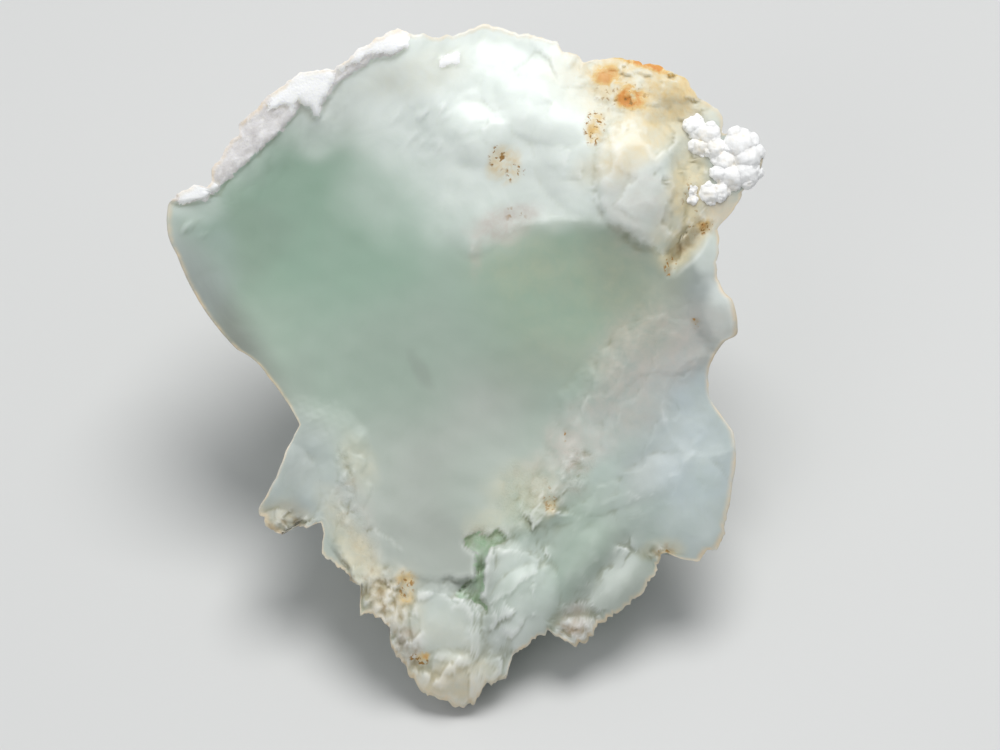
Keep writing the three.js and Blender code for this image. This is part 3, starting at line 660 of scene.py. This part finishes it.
def back_relief(points, chalk):
    """Lumps and pits of the outer rind, and the scalloped breaks beside it, along the surface's normals."""
    large = cells(points + 1.2 * lumps(points, 5, 19, 2)[:, None], 8.5, 8)
    small = cells(points + 0.5 * lumps(points, 2, 20, 2)[:, None], 3.2, 21)
    broken = 1.5 * large**2 + 0.3 * small**2 - 0.5
    broken += facets(points, 2.2, 22, 0.1) + 0.1 * lumps(points, 1.2, 9)
    near = cells(points, 1.9, 10)
    rind = 0.42 * (0.55 - near) + 0.4 * lumps(points, 4.5, 11, 4) + 0.12 * lumps(points, 0.8, 23)
    return mix(broken, rind, chalk)


# Meshes

def pressed_box(across):
    """A box whose front and back are grids of square cells, with one strip of cells round its side."""
    bm = bmesh.new()
    bmesh.ops.create_cube(bm, size=2.0)
    level = [edge for edge in bm.edges if edge.verts[0].co.z * edge.verts[1].co.z > 0]
    bmesh.ops.subdivide_edges(bm, edges=level, cuts=across - 1, use_grid_fill=True)
    bmesh.ops.recalc_face_normals(bm, faces=bm.faces)
    mesh = bpy.data.meshes.new("opal_stone")
    bm.to_mesh(mesh)
    bm.free()
    return mesh


def rows(items, name):
    """A vector of each of the items, as the rows of one array."""
    flat = np.empty(3 * len(items))
    items.foreach_get(name, flat)
    return flat.reshape(-1, 3)


def coordinates(mesh):
    return rows(mesh.vertices, "co")


def normals(mesh):
    return rows(mesh.vertex_normals, "vector")


def bends(mesh, rounds):
    """How far each point stands out of its surroundings, in millimetres: negative in a hollow."""
    ends = np.empty(2 * len(mesh.edges), int)
    mesh.edges.foreach_get("vertices", ends)
    a, b = ends.reshape(-1, 2).T
    here, there = np.concatenate([a, b]), np.concatenate([b, a])
    count = np.bincount(here, minlength=len(mesh.vertices))
    points = coordinates(mesh)
    smooth = points.copy()
    for _ in range(rounds):
        smooth = np.stack([np.bincount(here, x[there], len(count)) / count for x in smooth.T], axis=-1)
    return ((points - smooth) * normals(mesh)).sum(axis=1) / MM


def set_coordinates(mesh, points):
    mesh.vertices.foreach_set("co", points.ravel())
    mesh.update()


def set_mask(mesh, name, values):
    attribute = mesh.attributes.new(name, "FLOAT", "POINT")
    attribute.data.foreach_set("value", np.clip(values, 0, 1).astype(np.float32))


def rim_chips(angle):
    """How far fine chips move the outline, which the smooth left and right edges don't have."""
    fine = np.linspace(-math.pi, math.pi, 7201)
    radius = outline_radius(fine)
    u, v = HEART[0] + radius * np.cos(fine), HEART[1] + radius * np.sin(fine)
    smooth_left = ease(-12, -15, u) * ease(-8, -5, v) * ease(15.5, 13.5, v)
    smooth_right = ease(20, 22, u) * ease(-15, -12, v) * ease(9, 7, v)
    foot = ease(-11, -15, v)
    place = np.stack([u, v, 0 * u], axis=-1)
    chips = (0.28 + 0.14 * foot) * lumps(place, 1.0, 12, 4)
    chips -= (0.1 + 0.3 * foot) * np.abs(lumps(place, 0.6, 35, 2))
    notch = 1 - ease(1.0, 2.0, np.hypot(u - NOTCH[0], v - NOTCH[1]))
    return np.interp(angle, fine, chips * (1 - 0.9 * np.max([smooth_left, smooth_right, notch], axis=0)))


def spread_out(box, front):
    """Lays the box's points out: share of the way out, radius there, u, v, and back_height's two results."""
    x = box[:, 0] * np.sqrt(1 - box[:, 1] ** 2 / 2)
    y = box[:, 1] * np.sqrt(1 - box[:, 0] ** 2 / 2)
    ring = np.clip(np.hypot(x, y), 0, 1)
    back = ~front
    angle = np.arctan2(y, x)
    out = np.where(front, ring, np.sin(ring * CROWDING) / math.sin(CROWDING))
    share = out ** np.where(front, FRONT_RINGS, BACK_RINGS)
    radius = mix(broad_radius(angle), outline_radius(angle), share)
    u = HEART[0] + out * radius * np.cos(angle)
    v = HEART[1] + out * radius * np.sin(angle)
    height, heights = back_height(u[back], v[back], out[back])
    share[back] *= np.exp(np.minimum(height - front_height(u[back], v[back])[0] + EDGE, 0) / CHIPS_REACH)
    radius += share * rim_chips(angle)
    u = HEART[0] + out * radius * np.cos(angle)
    v = HEART[1] + out * radius * np.sin(angle)
    return out, radius, u, v, height, heights


def front_finish(u, v, face):
    """The masks of the front, by name."""
    masks = {name: wash(u, v, name) for name in WASHES}
    # The white opal of the upper shoulder, whitened further there as painted light where the overhead light
    # falls on it.
    shoulder = (1 - face) * ease(8, 13, v) * ease(19, 14, u)
    masks["milk"] = 1 - (1 - masks["milk"]) * (1 - 0.75 * shoulder)
    shaken = jagged(u, v)
    masks["tops"] = 0.5 + np.max([inside(*shaken, line) for line in CHALK_TOPS], axis=0)
    masks["chalk"] = np.maximum(0.5 + inside(*shaken, RIND), masks["tops"])
    masks["cleft"] = 0.5 + inside(*shaken, CLEFT)
    thick = [inside(*shaken, line) for stands, line in PLATES if stands > 0.1]
    masks["plates"] = 0.5 + np.max(thick, axis=0)
    return masks


def back_finish(points, v, grounded, heights):
    """The masks of the back, by name: the rind with milky opal along its edge, and clouds."""
    broken = np.max([heights[1 + i] for i in range(len(FACETS)) if i not in RIND_FACETS], axis=0)
    outer = np.max([heights[1 + i] for i in RIND_FACETS], axis=0)
    outer = np.maximum(outer, np.where(v > ROUND_RIND_ABOVE, heights[0], -np.inf))
    depth = outer - broken
    wander = 1.4 * lumps(points, 6, 33) + 0.8 * lumps(points, 1.6, 34)
    masks = {
        name: strength * ease(low, high, lumps(points, size, seed))
        for name, (strength, size, seed, low, high) in CLOUDS.items()
    }
    masks["milk"] = np.maximum(0.9 * ease(-3.5, -0.2, depth + wander), masks["milk"])
    masks["ochre"] *= ease(1.6, 0.2, np.abs(depth))
    masks["chalk"] = np.maximum(ease(-0.3, 0.3, depth + wander), 0.7 * grounded)
    masks["tops"] = np.ones_like(v)
    masks["cleft"] = masks["plates"] = np.zeros_like(v)
    return masks


def build_stone(across):
    """The stone's mesh with the masks of its finish."""
    mesh = pressed_box(across)
    box = coordinates(mesh)
    front = box[:, 2] > 0
    back = ~front
    out, radius, u, v, height, heights = spread_out(box, front)

    w, face, rough, pits = (np.zeros_like(u) for _ in range(4))
    w[front], face[front], rind = front_height(u[front], v[front])
    relief, rough[front], pits[front] = front_relief(u[front], v[front], w[front], face[front], rind)
    w[front] += relief
    top = front_height(u[back], v[back])
    room = top[0] + front_relief(u[back], v[back], *top)[0] - EDGE - height
    w[back] = height + np.minimum(room, 0)
    points = placed(u, v, w)
    set_coordinates(mesh, points)

    behind = points[back] / MM
    grounded = ease(0.3, 0.0, height - heights[-1])
    on_front = front_finish(u[front], v[front], face[front])
    on_back = back_finish(behind, v[back], grounded, heights)
    masks = {"pits": pits, "rough": rough}
    for name in on_front:
        masks[name] = np.zeros_like(u)
        masks[name][front] = on_front[name]
        masks[name][back] = on_back[name]
    rough[back] = on_back["chalk"]
    off = back_relief(behind, on_back["chalk"]) * ease(0, 1.5, room) * (1 - grounded)
    points[back] += MM * off[:, None] * normals(mesh)[back]
    points[back] = behind_outline(points[back])
    points[:, 2] = np.maximum(points[:, 2], 0)
    set_coordinates(mesh, points)

    from_rim = np.hypot((1 - out) * radius, np.where(front, 0, w - front_height(u, v)[0]))
    # A painted warm glow along the thin edge, where the light shines through the opal.
    masks["rim"] = ease(RIM_WIDTH, 0.08, from_rim)
    # The relief's painted light: a highlight where the surface stands out, less on the smooth face, and
    # shade in creases and hollows, less on milky opal.
    bend = bends(mesh, BEND_ROUNDS) * (1 - masks["rim"])
    # Weaker painted highlight and painted shade in the crystalline and calm patches.
    bend[front] *= 1 - 0.6 * patch(u[front], v[front], CRYSTALLINE + CALM)
    masks["ridge"] = ease(0.01, BEND_FULL, bend) * (1 - 0.6 * face)
    masks["valley"] = ease(0.01, 0.1, -bend) * (1 - 0.7 * masks["milk"])
    for name, values in masks.items():
        set_mask(mesh, name, values)
    mesh.shade_smooth()
    return mesh


def build_knobs():
    """White rounded lumps grown over one another, in one mesh."""
    bm = bmesh.new()
    for u, v, radius in KNOBS:
        low = ground_height(np.array([u]), np.array([v]))[0] - KNOB_SUNK * radius
        grown = [(u, v, low, radius)]
        for i in range(4):
            turn = 1.6 * i + 3 * u
            reach = 0.55 * radius
            side = (u + reach * math.cos(turn), v + reach * math.sin(turn), low + 0.1 * radius * i)
            grown.append((*side, radius * (0.68 - 0.06 * i)))
        for a, b, c, r in grown:
            at = placed(np.array(a), np.array(b), np.array(c))
            bmesh.ops.create_icosphere(bm, subdivisions=4, radius=r * MM, matrix=Matrix.Translation(at))
    mesh = bpy.data.meshes.new("opal_knobs")
    bm.to_mesh(mesh)
    bm.free()
    points = coordinates(mesh)
    off = 0.18 * lumps(points / MM, 1.3, 13, 2) + 0.1 * lumps(points / MM, 0.4, 15, 4) - 0.08
    set_coordinates(mesh, points + MM * off[:, None] * normals(mesh))
    # How far each point is sunk in, for the painted shade in the knobs' hollows.
    set_mask(mesh, "hollowed", -0.1 - 4 * off)
    mesh.shade_smooth()
    return mesh


# Finish

class Tree:
    """Adds nodes to a node tree and joins them, in few words."""

    def __init__(self, tree):
        self.tree = tree

    def add(self, kind, *inputs, **settings):
        """A node of that kind, with sockets or values as its inputs in the node's own order."""
        node = self.tree.nodes.new(kind)
        for name, value in settings.items():
            setattr(node, name, value)
        enabled = [socket for socket in node.inputs if socket.enabled]
        for socket, value in zip(enabled, inputs):
            self.feed(socket, value)
        return node

    def set(self, node, values):
        """Feeds inputs of a node by their names."""
        for name, value in values.items():
            self.feed(node.inputs[name], value)
        return node

    def feed(self, socket, value):
        if isinstance(value, bpy.types.NodeSocket):
            self.tree.links.new(value, socket)
        elif hasattr(value, "__len__"):
            socket.default_value = tuple(value)[:len(socket.default_value)]
        else:
            socket.default_value = value

    def math(self, operation, *inputs, clamp=False):
        return self.add("ShaderNodeMath", *inputs, operation=operation, use_clamp=clamp).outputs[0]

    def times(self, *inputs):
        return self.math("MULTIPLY", *inputs, clamp=True)

    def mask(self, name):
        return self.add("ShaderNodeAttribute", attribute_name=name).outputs["Fac"]

    def blend(self, factor, below, above, kind="MIX"):
        node = self.tree.nodes.new("ShaderNodeMix")
        node.data_type = "RGBA"
        node.blend_type = kind
        for name, value in (("Factor_Float", factor), ("A_Color", below), ("B_Color", above)):
            socket = next(s for s in node.inputs if s.identifier == name)
            self.feed(socket, value)
        return next(s for s in node.outputs if s.identifier == "Result_Color")

    def noise(self, vector, size, detail, rough, distort=0.0):
        """Noise whose lumps are about that size, in millimetres."""
        joined = isinstance(size, bpy.types.NodeSocket)
        node = self.set(self.add("ShaderNodeTexNoise"), {
            "Vector": vector, "Scale": self.math("DIVIDE", 1 / MM, size) if joined else 1 / (size * MM),
            "Detail": detail, "Roughness": rough, "Distortion": distort,
        })
        return node.outputs["Fac"]

    def spread(self, value, low, high, to_low=0.0, to_high=1.0):
        """A value from low to high spread out to the other two, and held there."""
        return self.add("ShaderNodeMapRange", value, low, high, to_low, to_high).outputs["Result"]

    def bump(self, height, distance, strength):
        """Normals tilted by a height in shares of a distance in millimetres."""
        values = {"Strength": strength, "Distance": distance * MM, "Height": height}
        return self.set(self.add("ShaderNodeBump"), values).outputs["Normal"]

    def surface(self, values):
        """A Principled shader with those inputs, as the material's surface."""
        shader = self.set(self.add("ShaderNodeBsdfPrincipled"), values)
        self.add("ShaderNodeOutputMaterial", shader.outputs[0])


def grain_group():
    """Mineral grain, for every finish: a fine grain, broad clouds and scattered ragged specks."""
    group = bpy.data.node_groups.new("Mineral Grain", "ShaderNodeTree")
    for name in ("Grain Size", "Cloud Size", "Speck Size", "Speck Level"):
        group.interface.new_socket(name, in_out="INPUT", socket_type="NodeSocketFloat").default_value = 0.6
    for name in ("Grain", "Clouds", "Specks"):
        group.interface.new_socket(name, in_out="OUTPUT", socket_type="NodeSocketFloat")
    tree = Tree(group)
    inputs = tree.add("NodeGroupInput").outputs
    outputs = tree.add("NodeGroupOutput").inputs
    place = tree.add("ShaderNodeTexCoord").outputs["Object"]
    tree.feed(outputs["Grain"], tree.noise(place, inputs["Grain Size"], 4, 0.5))
    clouds = tree.noise(place, inputs["Cloud Size"], 5, 0.55, 0.6)
    tree.feed(outputs["Clouds"], tree.spread(clouds, 0.3, 0.7))
    over = tree.math("SUBTRACT", tree.noise(place, inputs["Speck Size"], 2, 0.6, 0.3), inputs["Speck Level"])
    tree.feed(outputs["Specks"], tree.spread(over, 0, 0.05))
    return group


def new_material(name):
    material = bpy.data.materials.new(name)
    material.use_nodes = True
    material.node_tree.nodes.clear()
    return material, Tree(material.node_tree)


def opal_material(colours, group):
    """Milky green opal under its washes of colour, its chalky rind and its stains, with painted light: a
    warm glow along its thin edges, highlights on its lumps and shade in its creases.
    """
    material, tree = new_material("opal")
    grain = tree.add("ShaderNodeGroup", 0.22, 3.6, 0.5, 0.58, node_tree=group).outputs
    clouds = grain["Clouds"]
    place = tree.add("ShaderNodeTexCoord").outputs["Object"]
    broad = tree.spread(tree.noise(place, 9, 4, 0.6, 0.8), 0.3, 0.7)
    ragged = tree.spread(tree.noise(place, 1.4, 5, 0.65, 0.4), 0.3, 0.7)
    shaken = tree.spread(tree.noise(place, 0.7, 4, 0.6), 0.3, 0.7, -0.25, 0.25)

    def laid(name, cloud, least, most=1.0):
        """A mask that the clouds thin out, down to least of itself."""
        return tree.times(tree.mask(name), tree.spread(cloud, 0, 1, least, most))

    def crisp(name):
        """A mask that holds the distance from an edge, cut off sharply along that edge."""
        return tree.spread(tree.math("ADD", tree.mask(name), shaken), 0.46, 0.54)

    colour = tree.blend(broad, colours.body, colours.body_shade)
    for name, cloud, least in (
        ("mint", broad, 0.85), ("smoke", broad, 0.7), ("frost", clouds, 0.5), ("milk", clouds, 0.75),
        ("blush", ragged, 0.3), ("cream", ragged, 0.4),
    ):
        colour = tree.blend(laid(name, cloud, least), colour, getattr(colours, name))
    colour = tree.blend(tree.times(crisp("plates"), 0.14), colour, colours.milk)
    cleft = tree.times(crisp("cleft"), tree.spread(ragged, 0.2, 0.8, 0.5, 1.0))
    colour = tree.blend(cleft, colour, colours.cleft)
    chalk = crisp("chalk")
    colour = tree.blend(chalk, colour, tree.blend(ragged, colours.ash, colours.ash_shade))
    colour = tree.blend(tree.times(chalk, crisp("tops")), colour, colours.chalk)
    # Painted warm glow of light through the thin edges.
    colour = tree.blend(laid("rim", ragged, 0.1, 0.8), colour, colours.rim)
    # Painted highlight on lumps and ridges.
    colour = tree.blend(tree.times(tree.mask("ridge"), 0.28), colour, colours.chalk)
    # Painted shade in the creases and hollows between lumps.
    colour = tree.blend(tree.times(tree.mask("valley"), 0.55), colour, colours.shade, kind="MULTIPLY")
    stain = tree.times(tree.mask("ochre"), tree.spread(ragged, 0.2, 0.8, 0.25, 1.5))
    colour = tree.blend(tree.spread(stain, 0, 0.4), colour, colours.amber)
    colour = tree.blend(tree.spread(stain, 0.35, 1.0), colour, colours.ochre)
    pits = tree.times(tree.mask("pits"), tree.spread(ragged, 0.2, 0.8, 0.15, 0.8))
    colour = tree.blend(pits, colour, colours.pit)
    specks = tree.times(tree.spread(tree.mask("specks"), 0.1, 0.5), grain["Specks"])
    colour = tree.blend(specks, colour, colours.speck)

    rough = tree.spread(tree.mask("rough"), 0, 1, 0.42, 0.85)
    rough = tree.math("ADD", rough, tree.spread(clouds, 0, 1, -0.05, 0.07), clamp=True)
    fine = tree.times(grain["Grain"], tree.spread(tree.mask("rough"), 0, 1, 0.03, 1.0))
    tree.surface({
        "Base Color": colour, "Roughness": rough, "Normal": tree.bump(fine, 0.12, 0.6), "IOR": 1.45,
        "Subsurface Weight": 0.45, "Subsurface Radius": (1.0, 1.0, 0.9), "Subsurface Scale": 1.5 * MM,
    })
    return material


def knob_material(colours, group):
    """White porous knobs, with painted shade and a little rust in their hollows."""
    material, tree = new_material("white knobs")
    grain = tree.add("ShaderNodeGroup", 0.3, 2.2, 0.6, 0.66, node_tree=group).outputs
    # Painted shade: a cream tint in the knobs' hollows.
    hollow = tree.times(tree.mask("hollowed"), tree.spread(grain["Clouds"], 0.4, 1, 0, 0.9))
    colour = tree.blend(tree.times(grain["Clouds"], 0.4), colours.chalk, colours.ash)
    colour = tree.blend(hollow, colour, colours.cream)
    colour = tree.blend(tree.times(grain["Specks"], hollow), colour, colours.ochre)
    rough = tree.spread(grain["Grain"], 0.3, 0.7, 0.55, 0.85)
    tree.surface({
        "Base Color": colour, "Roughness": rough, "Normal": tree.bump(grain["Grain"], 0.15, 0.5),
        "Subsurface Weight": 0.2, "Subsurface Radius": (1.0, 1.0, 1.0), "Subsurface Scale": 0.6 * MM,
    })
    return material


# Settings

def amount(name, description, default, unit):
    return FloatProperty(name=name, description=description, default=default, unit=unit)


def srgb(red, green, blue):
    """The colour that a screen shows for those levels out of 255, as light."""
    levels = [level / 255 for level in (red, green, blue)]
    return tuple(c / 12.92 if c <= 0.04045 else ((c + 0.055) / 1.055) ** 2.4 for c in levels)


def colour(name, description, *levels):
    default = (*srgb(*levels), 1.0)
    return FloatVectorProperty(
        name=name, description=description, subtype="COLOR", size=4, min=0, max=1, default=default
    )


class OpalShape(bpy.types.PropertyGroup):
    across: IntProperty(name="Cells", description="Cells across the stone's front", default=219, min=20)


class OpalColours(bpy.types.PropertyGroup):
    body: colour("Body", "Pale opal between the washes", 180, 187, 178)
    body_shade: colour("Body shade", "Greyer clouds in the pale opal", 172, 180, 170)
    mint: colour("Mint", "Deep green opal in the hollows", 149, 175, 156)
    smoke: colour("Smoke", "Grey translucent opal near thin edges", 128, 131, 124)
    milk: colour("Milk", "White milky opal", 234, 240, 234)
    frost: colour("Frost", "Bluish white layers", 182, 193, 197)
    cream: colour("Cream", "Yellowish translucent opal", 226, 208, 164)
    blush: colour("Blush", "Pinkish grey layers", 196, 186, 177)
    cleft: colour("Cleft", "Green floor of the cleft", 149, 173, 145)
    chalk: colour("Chalk", "The outer rind", 252, 252, 250)
    ash: colour("Ash", "The rind where it is cut across", 240, 238, 237)
    ash_shade: colour("Ash shade", "Darker grains of the cut rind", 208, 204, 202)
    # The painted warm glow of light through the thin edges.
    rim: colour("Rim", "Thin weathered edges", 222, 196, 158)
    amber: colour("Amber", "Thin iron stain", 220, 192, 134)
    ochre: colour("Ochre", "Thick iron stain", 208, 142, 66)
    speck: colour("Speck", "Brown iron specks", 160, 122, 64)
    pit: colour("Pit", "Dirt in the gaps between grains", 156, 134, 98)
    shade: colour("Shade", "Darkens the hollows between lumps", 200, 196, 168)


class OpalStage(bpy.types.PropertyGroup):
    floor: colour("Floor", "The pale floor", 206, 206, 204)
    key: amount("Top light", "Power of the soft light overhead", 1.45, "POWER")
    fill: amount("Fill light", "Power of the light from the camera's side", 0.38, "POWER")
    away: amount("Camera distance", "From the middle of the face to the camera", EYE_AWAY * MM, "LENGTH")


# Operators

def finish_piece(mesh, material):
    piece = bpy.data.objects.new(mesh.name, mesh)
    bpy.context.scene.collection.objects.link(piece)
    mesh.materials.append(material)
    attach(piece, "root")
    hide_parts("opal")


def shared_grain():
    return bpy.data.node_groups.get("Mineral Grain") or grain_group()


class OPAL_OT_stone(bpy.types.Operator):
    """Models the stone itself in place of its plain solid"""
    bl_idname = "opal.stone"
    bl_label = "Stone"

    def execute(self, context):
        scene = context.scene
        material = opal_material(scene.opal_colours, shared_grain())
        finish_piece(build_stone(scene.opal_shape.across), material)
        return {"FINISHED"}


class OPAL_OT_knobs(bpy.types.Operator):
    """Models the white knobs at the right shoulder"""
    bl_idname = "opal.knobs"
    bl_label = "Knobs"

    def execute(self, context):
        finish_piece(build_knobs(), knob_material(context.scene.opal_colours, shared_grain()))
        return {"FINISHED"}


def aimed(thing, at, target):
    """Puts a light or camera at a place and turns it to look at the target."""
    thing.location = at
    thing.rotation_euler = (Vector(target) - Vector(at)).to_track_quat("-Z", "Y").to_euler()


def soft_light(name, at, target, size, power):
    data = bpy.data.lights.new(name, "AREA")
    data.shape = "DISK"
    data.size = size
    data.energy = power
    light = bpy.data.objects.new(name, data)
    bpy.context.scene.collection.objects.link(light)
    aimed(light, at, target)


class OPAL_OT_stage(bpy.types.Operator):
    """Sets up the floor, the lights and the camera"""
    bl_idname = "opal.stage"
    bl_label = "Stage"

    def execute(self, context):
        scene = context.scene
        stage = scene.opal_stage
        mesh = bpy.data.meshes.new("floor")
        bm = bmesh.new()
        bmesh.ops.create_grid(bm, x_segments=1, y_segments=1, size=FLOOR_SIZE)
        bm.to_mesh(mesh)
        bm.free()
        floor = bpy.data.objects.new("floor", mesh)
        scene.collection.objects.link(floor)
        material, tree = new_material("floor")
        tree.surface({"Base Color": stage.floor, "Roughness": 0.6})
        mesh.materials.append(material)

        middle = placed(EYE_U, EYE_V, 0)
        soft_light("top light", TOP_LIGHT_AT, middle, TOP_LIGHT_SIZE, stage.key)
        soft_light("fill light", FILL_LIGHT_AT, middle, FILL_LIGHT_SIZE, stage.fill)
        world = bpy.data.worlds.new("studio")
        world.use_nodes = True
        sky = world.node_tree.nodes["Background"].inputs
        sky["Color"].default_value = SKY
        sky["Strength"].default_value = SKY_STRENGTH
        scene.world = world

        lens = bpy.data.cameras.new("camera")
        lens.sensor_width = 36
        lens.lens = lens.sensor_width * stage.away / (PICTURE_WIDTH * MM)
        lens.clip_start = 0.01
        camera = bpy.data.objects.new("camera", lens)
        scene.collection.objects.link(camera)
        aimed(camera, placed(EYE_U, EYE_V, stage.away / MM), middle)
        scene.camera = camera
        scene.view_settings.view_transform = "Standard"
        return {"FINISHED"}


class OPAL_PT_panel(bpy.types.Panel):
    """Lists the settings and the steps that make the stone"""
    bl_label = "Green Opal"
    bl_idname = "OPAL_PT_panel"
    bl_space_type = "VIEW_3D"
    bl_region_type = "UI"
    bl_category = "Opal"

    def draw(self, context):
        scene = context.scene
        for group in (scene.opal_shape, scene.opal_colours, scene.opal_stage):
            column = self.layout.column(align=True)
            for name in group.__annotations__:
                column.prop(group, name)
        for operator in (OPAL_OT_stone, OPAL_OT_knobs, OPAL_OT_stage):
            self.layout.operator(operator.bl_idname)


CLASSES = (
    OpalShape, OpalColours, OpalStage, OPAL_OT_stone, OPAL_OT_knobs, OPAL_OT_stage, OPAL_PT_panel,
)


SETTINGS = {"opal_shape": OpalShape, "opal_colours": OpalColours, "opal_stage": OpalStage}


def register():
    for cls in CLASSES:
        bpy.utils.register_class(cls)
    for name, group in SETTINGS.items():
        setattr(bpy.types.Scene, name, PointerProperty(type=group))


def unregister():
    for name in SETTINGS:
        delattr(bpy.types.Scene, name)
    for cls in reversed(CLASSES):
        bpy.utils.unregister_class(cls)


def main():
    register()
    bpy.ops.opal.stone()
    bpy.ops.opal.knobs()
    bpy.ops.opal.stage()


if __name__ == "__main__":
    main()
